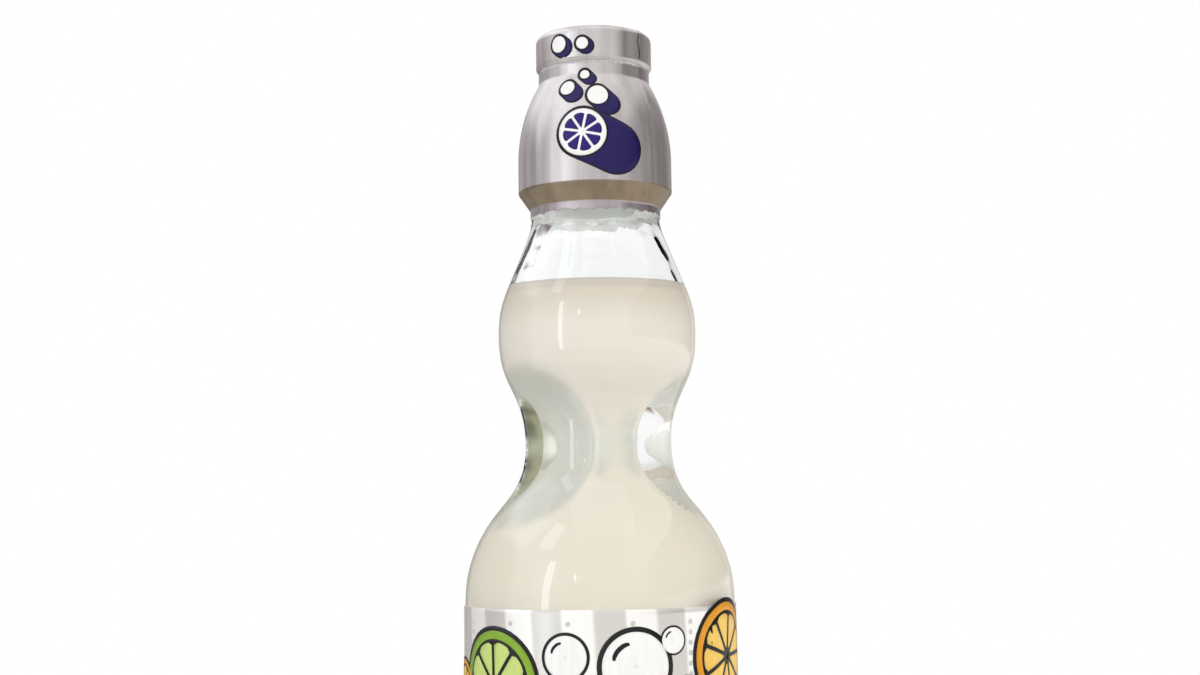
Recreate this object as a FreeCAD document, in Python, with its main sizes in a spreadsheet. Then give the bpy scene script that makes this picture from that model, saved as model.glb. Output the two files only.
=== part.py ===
"""Marble stopper bottle: a clear soda bottle with a pinched waist, closed from inside by a glass marble.

Lengths are millimetres. The origin is the centre of the foot, +Z runs up the neck, and the two dents of the
waist lie on +X and -X. Every radius is measured from the bottle's axis.
"""
import FreeCAD, Part
import math
import os
import re
import Sketcher

SIZES = {
    # glass body, from the foot to the waist
    "body_radius": 29.0,
    "body_wall": 3.3,
    "heel_round": 6.0,
    "foot_width": 4.0,
    "punt_depth": 3.5,
    "base_wall": 5.5,
    "floor_round": 10.0,
    "shoulder_start": 82.0,
    "shoulder_rise": 32.0,
    "shoulder_share": 0.65,
    "waist_radius": 16.0,
    "waist_height": 3.0,
    "waist_wall": 5.0,
    # the two opposed dents that hold the marble out of the body
    "dent_depth": 9.2,
    "dent_reach": 10.0,
    "dent_half_width": 5.0,
    "dent_half_height": 8.8,
    "dent_wall": 3.6,
    "dent_drop": 0.5,
    "bulge_spread": 16.0,
    "bulge_rise": 4.5,
    "dent_rim_round": 0.8,
    # glass bulb, cone and neck
    "bulb_rise": 21.5,
    "bulb_share": 0.51,
    "bulb_radius": 21.6,
    "bulb_height": 2.3,
    "crown_round": 20.6,
    "cone_angle": 22.0,
    "neck_blend": 6.0,
    "neck_wall": 4.6,
    "neck_land": 2.2,
    "bore_play": 1.0,
    "bore_blend": 8.0,
    # glass finish under the spout collar
    "finish_step": 0.8,
    "finish_height": 15.2,
    "bead_rise": 6.2,
    "bead_proud": 0.9,
    "bead_half": 1.5,
    "lip_round": 1.0,
    # marble and the rubber ring that it seals against
    "marble_radius": 8.4,
    "seat_gap": 0.1,
    "seat_share": 0.5,
    "seat_overlap": 1.2,
    "gasket_height": 2.4,
    "gasket_inset": 0.6,
    # spout collar, snapped over the bead
    "collar_gap": 1.0,
    "collar_fit": 0.2,
    "collar_wall": 2.3,
    "foot_inset": 0.4,
    "chamfer_height": 2.0,
    "barrel_height": 7.0,
    "flare_height": 17.2,
    "spout_land": 3.0,
    "throat_step": 0.4,
    "cup_ledge": 3.0,
    "cup_depth": 3.5,
    "spout_wall": 1.35,
    # breakaway ring on the spout, with the bridges that hold the plunger
    "ring_overhang": 0.55,
    "ring_bevel": 0.9,
    "ring_height": 7.7,
    "ring_round": 1.2,
    "bridge_gap": 0.05,
    "bridge_root": 0.4,
    "bridge_width": 1.0,
    "bridge_height": 0.8,
    "bridge_count": 4,
    # plunger
    "disc_gap": 0.4,
    "disc_recess": 0.5,
    "disc_height": 1.9,
    "disc_rim": 1.6,
    "dish_depth": 0.7,
    "peg_gap": 1.2,
    "peg_core": 2.6,
    "tip_gap": 0.3,
    "tip_round": 1.0,
    "tip_height": 2.4,
    "fin_width": 1.6,
    "fin_count": 4,
    # shrink films and the body label
    "film_gap": 0.05,
    "film_gauge": 0.2,
    "film_tail": 2.1,
    "film_hem": 4.0,
    "perforation": 0.2,
    "label_rise": 6.0,
    "label_margin": 1.5,
}

PLACES = {
    # radii of the closure, all led by the marble that has to pass and seal
    "bore_radius": "marble_radius + bore_play",
    "neck_radius": "bore_radius + neck_wall",
    "finish_radius": "neck_radius - finish_step",
    "gasket_bore": "marble_radius - seat_overlap",
    "throat_radius": "gasket_bore + throat_step",
    "cup_radius": "throat_radius + cup_ledge",
    "spout_radius": "cup_radius + spout_wall",
    "barrel_radius": "finish_radius + bead_proud + collar_fit + collar_wall",
    # glass, going up the outside
    "foot_outer": "body_radius - heel_round",
    "foot_inner": "foot_outer - foot_width",
    "punt_round": "(foot_inner ^ 2 + punt_depth ^ 2) / (2 * punt_depth)",
    "waist_start": "shoulder_start + shoulder_rise",
    "waist_end": "waist_start + waist_height",
    "bulb_start": "waist_end + bulb_rise",
    "bulb_end": "bulb_start + bulb_height",
    "crown_radius": "bulb_radius - crown_round * (1 - cos(cone_angle))",
    "crown_top": "bulb_end + crown_round * sin(cone_angle)",
    "cone_radius": "neck_radius + neck_blend * (1 - cos(cone_angle))",
    "cone_top": "crown_top + (crown_radius - cone_radius) / tan(cone_angle)",
    "neck_start": "cone_top + neck_blend * sin(cone_angle)",
    "step_low": "neck_start + neck_land",
    "step_high": "step_low + finish_step",
    "collar_bottom": "step_high + collar_gap",
    "bead_middle": "collar_bottom + bead_rise",
    "bead_round": "(bead_proud ^ 2 + bead_half ^ 2) / (2 * bead_proud)",
    "lip_top": "collar_bottom + finish_height",
    # glass, going up the inside
    "floor": "punt_depth + base_wall",
    "inner_radius": "body_radius - body_wall",
    "inner_waist": "waist_radius - waist_wall",
    "inner_bulb": "bulb_radius - body_wall",
    "inner_crown": "crown_round - body_wall",
    "inner_crown_radius": "bulb_radius - crown_round + inner_crown * cos(cone_angle)",
    "inner_crown_top": "bulb_end + inner_crown * sin(cone_angle)",
    "inner_cone_radius": "bore_radius + bore_blend * (1 - cos(cone_angle))",
    "inner_cone_top": "inner_crown_top + (inner_crown_radius - inner_cone_radius) / tan(cone_angle)",
    "bore_start": "inner_cone_top + bore_blend * sin(cone_angle)",
    # dents
    "dent_middle": "waist_start + waist_height / 2 - dent_drop",
    "dent_offset": "waist_radius - dent_depth + dent_reach",
    # marble and seal
    "gasket_radius": "finish_radius - gasket_inset",
    "gasket_top": "lip_top + gasket_height",
    "marble_middle": "lip_top + gasket_height * seat_share - sqrt(marble_radius ^ 2 - gasket_bore ^ 2)",
    # spout collar
    "sleeve_radius": "finish_radius + collar_fit",
    "groove_round": "bead_round + collar_fit",
    "groove_half": "sqrt(groove_round ^ 2 - (groove_round - bead_proud) ^ 2)",
    "barrel_bottom": "collar_bottom + chamfer_height",
    "barrel_top": "barrel_bottom + barrel_height",
    "flare_top": "barrel_top + flare_height",
    "collar_top": "flare_top + spout_land",
    "skirt_share": "(collar_bottom - step_low) / (barrel_bottom - step_low)",
    "foot_radius": "neck_radius + (barrel_radius - neck_radius) * skirt_share - foot_inset",
    "flare_inset": "barrel_radius - spout_radius",
    "flare_round": "(flare_inset ^ 2 + flare_height ^ 2) / (2 * flare_inset)",
    "cup_floor": "collar_top - cup_depth",
    # ring and plunger
    "ring_radius": "spout_radius + ring_overhang",
    "ring_top": "collar_top + ring_height",
    "disc_radius": "cup_radius - disc_gap",
    "disc_top": "ring_top - disc_recess",
    "disc_bottom": "disc_top - disc_height",
    "dish_radius": "disc_radius - disc_rim",
    "dish_round": "(dish_radius ^ 2 + dish_depth ^ 2) / (2 * dish_depth)",
    "peg_radius": "throat_radius - peg_gap",
    "tip_bottom": "marble_middle + marble_radius + tip_gap",
    "tip_top": "tip_bottom + tip_height",
    # films
    "film_outer": "film_gap + film_gauge",
    "cut_low": "collar_top - perforation / 2",
    "cut_high": "collar_top + perforation / 2",
    "bevel_top": "collar_top + ring_bevel",
    "label_bottom": "heel_round + label_rise",
    "label_top": "shoulder_start - label_margin",
}

OUTWARD = 1
INWARD = -1
QUARTER_TURN = 90
RIM_SAMPLES = 5
RIM_TOLERANCE_SHARE = 0.001

doc = FreeCAD.newDocument("marble_stopper_bottle")
sheet = doc.addObject("Spreadsheet::Sheet", "Sizes")
for row, (alias, size) in enumerate(SIZES.items(), start=1):
    sheet.set(f"A{row}", alias)
    sheet.set(f"B{row}", str(size))
    sheet.setAlias(f"B{row}", alias)
doc.recompute()


def bound(text):
    """The text as an expression: each size becomes its cell, each place is written out in sizes."""
    def tied(match):
        word = match.group()
        if word in SIZES:
            return f"Sizes.{word}"
        if word in PLACES:
            return f"({bound(PLACES[word])})"
        return word
    return re.sub(r"[a-z_]+", tied, text)


def value(text):
    return float(sheet.evalExpression(bound(text)))


def bind(thing, **texts):
    """Ties properties to sizes; two underscores in a name stand for the dot of a sub-property."""
    for name, text in texts.items():
        thing.setExpression(name.replace("__", "."), bound(text))


def drawn_arc(begin, end, radius, side):
    """The short arc from begin to end; OUTWARD keeps its centre on the left of the way there."""
    chord = end - begin
    half = chord.Length / 2
    to_left = FreeCAD.Vector(-chord.y, chord.x, 0).normalize()
    centre = begin + chord * 0.5 + to_left * (side * math.sqrt(radius ** 2 - half ** 2))
    first, last = (begin, end) if side == OUTWARD else (end, begin)
    angles = [math.atan2(point.y - centre.y, point.x - centre.x) for point in (first, last)]
    circle = Part.Circle(centre, FreeCAD.Vector(0, 0, 1), radius)
    return Part.ArcOfCircle(circle, *angles)


def outline(body, name, corners):
    """A closed sketch in the X-Z plane through corners (radius, height), anticlockwise.

    A corner with two more entries, a round and a side, is reached along an arc.
    """
    sketch = body.newObject("Sketcher::SketchObject", name)
    plane = next(item for item in body.Origin.OriginFeatures if item.Role == "XZ_Plane")
    sketch.AttachmentSupport = (plane, [""])
    sketch.MapMode = "FlatFace"
    points = [FreeCAD.Vector(value(corner[0]), value(corner[1]), 0) for corner in corners]
    ends = []
    for index, corner in enumerate(corners):
        begin, end = points[index - 1], points[index]
        if len(corner) == 2:
            sketch.addGeometry(Part.LineSegment(begin, end))
            ends.append((1, 2))
        else:
            sketch.addGeometry(drawn_arc(begin, end, value(corner[2]), corner[3]))
            ends.append((1, 2) if corner[3] == OUTWARD else (2, 1))
    origin_point, across_axis, up_axis = -1, -1, -2
    for index, corner in enumerate(corners):
        following = (index + 1) % len(corners)
        last_end = ends[index][1]
        sketch.addConstraint(
            Sketcher.Constraint("Coincident", index, last_end, following, ends[following][0]))
        for kind, text, axis in (("DistanceX", corner[0], up_axis), ("DistanceY", corner[1], across_axis)):
            if text == "0":
                sketch.addConstraint(Sketcher.Constraint("PointOnObject", index, last_end, axis))
            else:
                held = Sketcher.Constraint(kind, origin_point, 1, index, last_end, value(text))
                number = sketch.addConstraint(held)
                sketch.setExpression(f"Constraints[{number}]", bound(text))
        if len(corner) > 2:
            number = sketch.addConstraint(Sketcher.Constraint("Radius", index, value(corner[2])))
            sketch.setExpression(f"Constraints[{number}]", bound(corner[2]))
    return sketch


def turned(label, corners):
    """A body of revolution about the bottle's axis."""
    body = doc.addObject("PartDesign::Body", label)
    sketch = outline(body, f"{label}_profile", corners)
    turn = body.newObject("PartDesign::Revolution", f"{label}_turn")
    turn.Profile = sketch
    turn.ReferenceAxis = (sketch, ["V_Axis"])
    doc.recompute()
    return body


def add_blades(body, name, corners, width, count):
    """Flat blades standing on the axis planes of a turned body, spaced evenly round it."""
    sketch = outline(body, f"{name}_outline", corners)
    blade = body.newObject("PartDesign::Pad", name)
    blade.Profile = sketch
    blade.SideType = "Symmetric"
    bind(blade, Length=width)
    doc.recompute()
    pattern = body.newObject("PartDesign::PolarPattern", f"{name}_pattern")
    pattern.Originals = [blade]
    pattern.Axis = (sketch, ["V_Axis"])
    bind(pattern, Occurrences=count)
    body.Tip = pattern
    doc.recompute()


def cut(label, base, tool):
    result = doc.addObject("Part::Cut", label)
    result.Base = base
    result.Tool = tool
    doc.recompute()
    return result


def sway(low, high, share):
    """Two tangent arcs from low to high, upright at both ends.

    The first arc takes the given share of the two rounds together.
    """
    (low_radius, low_height), (high_radius, high_height) = low, high
    narrowing = value(low_radius) > value(high_radius)
    sign = "" if narrowing else "-"
    rise = f"({high_height} - ({low_height}))"
    inset = f"({sign}1 * ({low_radius} - {high_radius}))"
    rounds = f"(({inset} ^ 2 + {rise} ^ 2) / (2 * {inset}))"
    first = f"({share} * {rounds})"
    second = f"((1 - {share}) * {rounds})"
    middle_radius = f"{low_radius} - {sign}1 * {share} * {inset}"
    middle_height = f"{low_height} + {share} * {rise}"
    sides = (OUTWARD, INWARD) if narrowing else (INWARD, OUTWARD)
    return [
        (middle_radius, middle_height, first, sides[0]),
        (high_radius, high_height, second, sides[1]),
    ]


def waist_curves(body, waist, bulb):
    """One face of the glass from the shoulder through the waist to the bulb, in its three radii."""
    return [
        (body, "shoulder_start"),
        *sway((body, "shoulder_start"), (waist, "waist_start"), "shoulder_share"),
        (waist, "waist_end"),
        *sway((waist, "waist_end"), (bulb, "bulb_start"), "bulb_share"),
        (bulb, "bulb_end"),
    ]


def dent_pair(name, wall, rise, spread):
    """Two ellipsoids on either side of the waist, lying along X, grown by a wall and then up and sideways."""
    pair = []
    for side, sign in (("right", 1), ("left", -1)):
        dent = doc.addObject("Part::Ellipsoid", f"{name}_{side}")
        dent.Placement.Rotation = FreeCAD.Rotation(FreeCAD.Vector(0, 1, 0), QUARTER_TURN)
        bind(
            dent,
            Radius1=f"dent_reach + {wall}",
            Radius2=f"dent_half_height + {wall} + {rise}",
            Radius3=f"dent_half_width + {wall} + {spread}",
            Placement__Base__x=f"{sign} * dent_offset",
            Placement__Base__z="dent_middle",
        )
        pair.append(dent)
    both = doc.addObject("Part::MultiFuse", name)
    both.Shapes = pair
    doc.recompute()
    return both


def rim_edges(shape):
    """Numbers of the edges where the dents break through the outside of the waist."""
    reach, half_width, half_height = value("dent_reach"), value("dent_half_width"), value("dent_half_height")
    offset, middle = value("dent_offset"), value("dent_middle")
    found = []
    for number, edge in enumerate(shape.Edges, start=1):
        if edge.Degenerated:
            continue
        samples = edge.discretize(RIM_SAMPLES)
        faces = shape.ancestorsOfType(edge, Part.Face)
        on_dent = all(
            abs(((abs(point.x) - offset) / reach) ** 2 + (point.y / half_width) ** 2
                + ((point.z - middle) / half_height) ** 2 - 1) < RIM_TOLERANCE_SHARE
            for point in samples)
        kinds = {face.Surface.TypeId for face in faces}
        if on_dent and len(faces) == 2 and len(kinds) == 2:
            found.append(number)
    return found


def make_glass_bottle():
    blank = turned("glass_blank", [
        ("0", "punt_depth"),
        ("foot_inner", "0", "punt_round", INWARD),
        ("foot_outer", "0"),
        ("body_radius", "heel_round", "heel_round", OUTWARD),
        *waist_curves("body_radius", "waist_radius", "bulb_radius"),
        ("crown_radius", "crown_top", "crown_round", OUTWARD),
        ("cone_radius", "cone_top"),
        ("neck_radius", "neck_start", "neck_blend", INWARD),
        ("neck_radius", "step_low"),
        ("finish_radius", "step_high"),
        ("finish_radius", "bead_middle - bead_half"),
        ("finish_radius", "bead_middle + bead_half", "bead_round", OUTWARD),
        ("finish_radius", "lip_top - lip_round"),
        ("finish_radius - lip_round", "lip_top", "lip_round", OUTWARD),
        ("0", "lip_top"),
    ])
    hollow = turned("glass_hollow", [
        ("0", "floor"),
        ("inner_radius - floor_round", "floor"),
        ("inner_radius", "floor + floor_round", "floor_round", OUTWARD),
        *waist_curves("inner_radius", "inner_waist", "inner_bulb"),
        ("inner_crown_radius", "inner_crown_top", "inner_crown", OUTWARD),
        ("inner_cone_radius", "inner_cone_top"),
        ("bore_radius", "bore_start", "bore_blend", INWARD),
        ("bore_radius", "lip_top"),
        ("0", "lip_top"),
    ])
    dented = cut("glass_dented", blank, dent_pair("dents", "0", "0", "0"))
    softened = doc.addObject("Part::Fillet", "glass_softened")
    softened.Base = dented
    rim_round = value("dent_rim_round")
    softened.Edges = [(number, rim_round, rim_round) for number in rim_edges(dented.Shape)]
    doc.recompute()
    passage = cut("glass_passage", hollow, dent_pair("bulges", "dent_wall", "bulge_rise", "bulge_spread"))
    return cut("glass_bottle", softened, passage)


def make_marble():
    marble = doc.addObject("Part::Sphere", "marble")
    bind(marble, Radius="marble_radius", Placement__Base__z="marble_middle")
    return marble


def make_gasket_ring():
    washer = turned("gasket_washer", [
        ("gasket_bore", "lip_top"),
        ("gasket_radius", "lip_top"),
        ("gasket_radius", "gasket_top"),
        ("gasket_bore", "gasket_top"),
    ])
    seat = doc.addObject("Part::Sphere", "gasket_seat")
    bind(seat, Radius="marble_radius + seat_gap", Placement__Base__z="marble_middle")
    return cut("gasket_ring", washer, seat)


def make_spout_collar():
    return turned("spout_collar", [
        ("sleeve_radius", "collar_bottom"),
        ("foot_radius", "collar_bottom"),
        ("barrel_radius", "barrel_bottom"),
        ("barrel_radius", "barrel_top"),
        ("spout_radius", "flare_top", "flare_round", OUTWARD),
        ("spout_radius", "collar_top"),
        ("cup_radius", "collar_top"),
        ("cup_radius", "cup_floor"),
        ("throat_radius", "cup_floor"),
        ("throat_radius", "gasket_top"),
        ("sleeve_radius", "gasket_top"),
        ("sleeve_radius", "bead_middle + groove_half"),
        ("sleeve_radius", "bead_middle - groove_half", "groove_round", INWARD),
    ])


def make_breakaway_ring():
    ring = turned("breakaway_ring", [
        ("cup_radius", "collar_top"),
        ("spout_radius", "collar_top"),
        ("spout_radius", "cut_high"),
        ("ring_radius", "bevel_top"),
        ("ring_radius", "ring_top - ring_round"),
        ("ring_radius - ring_round", "ring_top", "ring_round", OUTWARD),
        ("cup_radius", "ring_top"),
    ])
    add_blades(ring, "bridge", [
        ("disc_radius + bridge_gap", "disc_top - bridge_height"),
        ("cup_radius + bridge_root", "disc_top - bridge_height"),
        ("cup_radius + bridge_root", "disc_top"),
        ("disc_radius + bridge_gap", "disc_top"),
    ], "bridge_width", "bridge_count")
    return ring


def make_plunger():
    plunger = turned("plunger", [
        ("0", "tip_bottom"),
        ("peg_radius - tip_round", "tip_bottom"),
        ("peg_radius", "tip_bottom + tip_round", "tip_round", OUTWARD),
        ("peg_radius", "tip_top"),
        ("peg_core", "tip_top"),
        ("peg_core", "disc_bottom"),
        ("disc_radius", "disc_bottom"),
        ("disc_radius", "disc_top"),
        ("dish_radius", "disc_top"),
        ("0", "disc_top - dish_depth", "dish_round", INWARD),
    ])
    add_blades(plunger, "fin", [
        ("peg_core / 2", "tip_top - tip_round"),
        ("peg_radius", "tip_top - tip_round"),
        ("peg_radius", "disc_bottom"),
        ("peg_core / 2", "disc_bottom"),
    ], "fin_width", "fin_count")
    return plunger


def make_collar_film():
    def flare_end(offset):
        round_there = f"(flare_round + {offset})"
        return f"barrel_top + sqrt({round_there} ^ 2 - ({round_there} - flare_inset) ^ 2)"
    return turned("collar_film", [
        ("neck_radius + film_gap", "step_low - film_tail"),
        ("neck_radius + film_outer", "step_low - film_tail"),
        ("neck_radius + film_outer", "step_low"),
        ("barrel_radius + film_outer", "barrel_bottom"),
        ("barrel_radius + film_outer", "barrel_top"),
        ("spout_radius + film_outer", flare_end("film_outer"), "flare_round + film_outer", OUTWARD),
        ("spout_radius + film_outer", "cut_low"),
        ("spout_radius + film_gap", "cut_low"),
        ("spout_radius + film_gap", flare_end("film_gap")),
        ("barrel_radius + film_gap", "barrel_top", "flare_round + film_gap", INWARD),
        ("barrel_radius + film_gap", "barrel_bottom"),
        ("neck_radius + film_gap", "step_low"),
    ])


def make_seal_film():
    return turned("seal_film", [
        ("spout_radius + film_gap", "cut_high"),
        ("spout_radius + film_outer", "cut_high"),
        ("ring_radius + film_outer", "bevel_top"),
        ("ring_radius + film_outer", "ring_top - ring_round"),
        ("ring_radius - ring_round", "ring_top + film_outer", "ring_round + film_outer", OUTWARD),
        ("ring_radius - film_hem", "ring_top + film_outer"),
        ("ring_radius - film_hem", "ring_top + film_gap"),
        ("ring_radius - ring_round", "ring_top + film_gap"),
        ("ring_radius + film_gap", "ring_top - ring_round", "ring_round + film_gap", INWARD),
        ("ring_radius + film_gap", "bevel_top"),
    ])


def make_body_label():
    return turned("body_label", [
        ("body_radius + film_gap", "label_bottom"),
        ("body_radius + film_outer", "label_bottom"),
        ("body_radius + film_outer", "label_top"),
        ("body_radius + film_gap", "label_top"),
    ])


def write_parts(pieces):
    """Stops on any failed object, then writes each piece to a file of its own name."""
    doc.recompute()
    failed = [item.Label for item in doc.Objects if {"Invalid", "Error"} & set(item.State)]
    failed += [piece.Label for piece in pieces if piece.Shape.isNull() or not piece.Shape.isValid()]
    if failed:
        raise RuntimeError(f"not built: {', '.join(failed)}")
    os.makedirs("parts", exist_ok=True)
    for piece in pieces:
        piece.Shape.exportStep(f"parts/{piece.Label}.step")


write_parts([
    make_glass_bottle(),
    make_marble(),
    make_gasket_ring(),
    make_spout_collar(),
    make_breakaway_ring(),
    make_plunger(),
    make_collar_film(),
    make_seal_film(),
    make_body_label(),
])
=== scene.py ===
"""Looks of the marble stopper bottle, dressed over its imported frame.

Lengths are metres, and sizes in millimetres carry the factor MM. Angles about the bottle's axis run
anticlockwise from +X, seen from above.
"""
import math

import bpy
import numpy as np
from mathutils import Matrix, Vector
from mathutils.bvhtree import BVHTree


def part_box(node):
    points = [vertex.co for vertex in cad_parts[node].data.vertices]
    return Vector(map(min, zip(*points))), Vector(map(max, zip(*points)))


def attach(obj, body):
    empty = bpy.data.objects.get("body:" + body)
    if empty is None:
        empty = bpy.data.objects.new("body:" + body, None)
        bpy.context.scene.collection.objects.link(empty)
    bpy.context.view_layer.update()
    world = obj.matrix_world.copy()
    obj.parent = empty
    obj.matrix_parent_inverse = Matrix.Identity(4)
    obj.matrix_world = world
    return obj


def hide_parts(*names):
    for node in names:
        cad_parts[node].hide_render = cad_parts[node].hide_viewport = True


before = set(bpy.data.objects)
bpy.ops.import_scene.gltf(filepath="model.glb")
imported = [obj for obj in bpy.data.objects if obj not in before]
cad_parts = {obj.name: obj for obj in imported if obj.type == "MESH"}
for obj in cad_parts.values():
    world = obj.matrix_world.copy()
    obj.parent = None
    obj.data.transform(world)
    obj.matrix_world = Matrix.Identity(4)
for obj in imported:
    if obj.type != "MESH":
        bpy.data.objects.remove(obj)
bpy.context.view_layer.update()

MM = 0.001
FAR = 0.2

# the photograph's camera
CAMERA_AZIMUTH = math.radians(-19.0)
CAMERA_DISTANCE = 388 * MM
CAMERA_HEIGHT = 98.9 * MM
CAMERA_PITCH = math.radians(5.91)
CAMERA_YAW = math.radians(-0.10)
CAMERA_ROLL = math.radians(-0.7)
CAMERA_LENS_MM = 53.4
CAMERA_SENSOR_MM = 36
CAMERA_CLIP = 10 * MM
FRONT_ANGLE = CAMERA_AZIMUTH - math.pi / 2

# glass
GLASS_INDEX = 1.5
GLASS_ANGLES = np.linspace(0, 2 * math.pi, 192, endpoint=False)
GLASS_ROWS = 150
GLASS_SOFTENING = 4
FAN_HEIGHT = 30 * MM
OUTER_FAN_STEPS = 46
INNER_FAN_STEPS = 40
LIP_CLEARANCE = 0.1 * MM
OUTER_WAVE = 0.05 * MM
INNER_WAVE = 0.09 * MM
INNER_RIPPLE_SHARE = 0.9
WAVES_OVER_LABEL = 8 * MM
WAVES_UNDER_FILM = 6 * MM
DENT_EDGE = 0.12 * MM
DENT_RIM = (0.35 * MM, 1.0 * MM)
DENT_FADE = 4.5 * MM
DENT_ROUGHNESS = 0.45
OLIVE_CLEARNESS = 0.70
PALE_CLEARNESS = 0.50

# drink
DRINK_INDEX = 1.33
DRINK_SCATTER = 8 * MM
FILL_HEIGHT = 148.3 * MM
MENISCUS_CLIMB = 1.3 * MM
MENISCUS_REACH = 1.6 * MM
SURFACE_STEPS = 22
DRINK_OVERLAP = 0.08 * MM
THIN_DRINK = 5.2 * MM
PINCH_START = 0.4 * MM
PINCH_FULL = 2.4 * MM
PINCH_SHARE = 0.75
CLOUD_SHARE = 0.08
LEVEL_BAND = 9.0 * MM
LEVEL_LINE = 1.1 * MM
UPPER_TONE_SPAN = (95 * MM, 130 * MM)
CONE_RAYS = 6
CONE_SLANT = math.radians(40)
CONE_START = 0.2 * MM

# shrink films; the lap and the rise of the seam are radians round the axis
FILM_ANGLES = np.linspace(-math.pi, math.pi, 288, endpoint=False)
FILM_GAUGE = 0.15 * MM
FILM_EDGE = 0.01 * MM
PROFILE_STEPS = 160
COLLAR_ROWS = 120
SEAL_ROWS = 90
LABEL_ROWS = 60
COLLAR_PLEAT = 0.10 * MM
SEAL_PLEAT = 0.08 * MM
LABEL_PLEAT = 0.04 * MM
PLEAT_REST = 3
SEAM_ANGLE = FRONT_ANGLE + math.radians(50)
SEAM_STEP = 0.12 * MM
SEAM_LAP = (0.02, 0.35)
SEAM_RISE = 0.008
TAIL_HEIGHT = 2.1 * MM
TAIL_LIFT = 0.4 * MM
TAIL_RAGGED = 0.35 * MM
CUT_FADE = 1.0 * MM
CUT_DROP = 0.2 * MM
TOOTH = 0.12 * MM
TOOTH_TURNS = 96
FOLD_MARGIN = 0.05 * MM
FOOT_MARGIN = 0.02 * MM
HEM_STEP = 0.1 * MM
LABEL_STRIPES = 14
LABEL_SLANT = 2.0
LABEL_CREEP = 0.9 * MM

# waves round the axis: turns, radians for each millimetre of height, phase and weight
GLASS_WAVES = ((3, 0.05, 0.0, 1.0), (7, -0.03, 1.3, 1.0), (13, 0.02, 2.1, 0.6), (2, 0.31, 0.0, 0.7))
GLASS_RIPPLES = ((5, 1.25, 0.0, 1.0), (-4, 0.4, 0.0, 1.0))
PLEAT_WAVES = ((9, 0.11, 0.0, 1.0), (17, -0.07, 0.8, 1.0), (31, 0.05, 2.0, 0.7))
RAGGED_WAVES = ((23, 0.0, 0.0, 1.0), (41, 0.0, 1.0, 1.0), (7, 0.0, 0.0, 1.0))

# depths of the finest unevenness of surfaces
GLASS_BUMP = 0.4 * MM
FILM_BUMP = 0.15 * MM
LABEL_BUMP = 0.2 * MM
RUBBER_GRAIN = 0.05 * MM
PLASTIC_GRAIN = 0.03 * MM
INK_GRAIN = 0.03 * MM

# factors that make the darker and the paler tone of a colour, and spans of noise and roughness
PLASTIC_TONES = (0.95, 1.04)
FILM_TONES = (0.80, 1.12)
INK_TONES = (0.88, 1.10)
PLASTIC_INDEX = 1.5
PLASTIC_GRAIN_SPAN = (0.2, 0.8)
PLASTIC_ROUGHNESS_SPAN = (-0.06, 0.08)
FILM_SPAN = (0.36, 0.64)
FILM_STREAK_SPAN = (0.3, 0.7)
FILM_ROUGHNESS_SPAN = (0.30, 0.44)
STRIPE_EDGE_SPAN = (-0.25, 0.25)
STRIPE_GRAIN_SHARE = 0.25

# colours, linear; a pair is the darker and the paler tone of one material
CLEAR_TINTS = ((0.955, 0.975, 0.965), (0.985, 0.992, 0.988))
# painted reflection and light of the dents: olive in the -X dent, pale in the +X dent
OLIVE_REFLECTION_TINTS = ((0.27, 0.29, 0.16), (0.34, 0.36, 0.22))
DENT_LIT_PALE = (0.960, 0.950, 0.915)
DENT_CLEAR = (0.965, 0.980, 0.972)
CREAM = (0.760, 0.712, 0.605)
UPPER_CREAM = (0.765, 0.722, 0.645)
# greyer colour of thin drink, and painted shade where the waist's bulges press the drink in
THIN_AND_SHADED_CREAM = (0.600, 0.612, 0.545)
CLOUD_CREAM = (0.600, 0.550, 0.460)
LEVEL_CREAM = (0.640, 0.580, 0.490)
# painted shade of the thin dark line at the filling level
LEVEL_SHADE_CREAM = (0.560, 0.505, 0.435)
SCATTER_TINT = (1.0, 0.95, 0.85)
MARBLE_TINTS = ((0.62, 0.82, 0.80), (0.85, 0.95, 0.93))
RUBBER_GREYS = ((0.030, 0.030, 0.030), (0.055, 0.055, 0.055))
MOULDED_WHITE = (0.78, 0.79, 0.77)
PLUNGER_WHITE = (0.74, 0.76, 0.75)
SILVER = (0.560, 0.520, 0.520)
# painted shade and reflection: a darker tan copy of the silver for the film's underside
SHADED_TAN_SILVER = (0.290, 0.225, 0.155)
# painted shade: a darker lilac copy of the silver for the film's tail on the neck
SHADED_LILAC_SILVER = (0.450, 0.405, 0.425)
LINING_WHITES = ((0.86, 0.85, 0.84), (0.93, 0.92, 0.91))
STRIPE_GREYS = ((0.620, 0.600, 0.560), (0.950, 0.935, 0.895))
STRIPE_GRAIN = (0.780, 0.770, 0.760)
DOT_GREY = (0.62, 0.61, 0.61)
INDIGO = (0.013, 0.007, 0.085)
VIOLET = (0.020, 0.009, 0.150)
INK_WHITE = (0.880, 0.870, 0.860)
INK_BLACK = (0.012, 0.011, 0.012)
LIME = (0.230, 0.400, 0.030)
LIME_PALE = (0.560, 0.680, 0.200)
AMBER = (0.720, 0.310, 0.020)
AMBER_PALE = (0.860, 0.560, 0.120)
FLOOR_GREYS = ((0.86, 0.86, 0.85), (0.90, 0.90, 0.89))
SOFT_WORLD = (1.0, 0.985, 0.96, 1)
COOL_LAMP = (0.85, 0.95, 1.06)
WHITE_LAMP = (1.00, 1.00, 1.00)


def smooth_step(low, high, values):
    share = np.clip((values - low) / (high - low), 0, 1)
    return share * share * (3 - 2 * share)


def wave_sum(waves, angles, heights):
    """Sum of the waves at each angle and height."""
    tall = heights / MM
    return sum(weight * np.sin(turns * angles + rise * tall + phase) for turns, rise, phase, weight in waves)


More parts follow.
